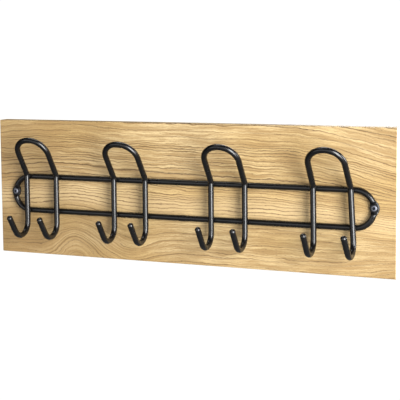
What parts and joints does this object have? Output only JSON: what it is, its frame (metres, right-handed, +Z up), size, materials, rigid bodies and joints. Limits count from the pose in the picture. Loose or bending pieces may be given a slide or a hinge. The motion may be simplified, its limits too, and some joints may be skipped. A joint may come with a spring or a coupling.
{
  "type": "wall hook rack",
  "caption": "Long wooden wall board with an oval ring of black wire that carries double coat hooks with leaning upper loops.",
  "frame": {"origin": "middle of the board's back face, which lies against the wall", "axes": "+X along the board, to the right for someone who faces it; +Y into the wall; +Z up. The front faces -Y."},
  "size_m": [0.6, 0.0866, 0.2],
  "materials": {
    "oak": "oiled solid oak, matt to satin",
    "powder_coat": "black powder coat, semi-gloss",
    "zinc_screw": "bright zinc",
    "plate_steel": "zinc-plated pressed steel",
    "plate_screw": "yellow zinc"
  },
  "bodies": {
    "root": {"board": "oak", "wire_ring": "powder_coat", "double_hook_1": "powder_coat", "double_hook_2": "powder_coat", "double_hook_3": "powder_coat", "double_hook_4": "powder_coat", "ring_screw_left": "zinc_screw", "ring_screw_right": "zinc_screw", "hanger_plate_left": "plate_steel", "hanger_plate_right": "plate_steel", "hanger_screw_left_upper": "plate_screw", "hanger_screw_left_lower": "plate_screw", "hanger_screw_right_upper": "plate_screw", "hanger_screw_right_lower": "plate_screw"}
  },
  "joints": []
}
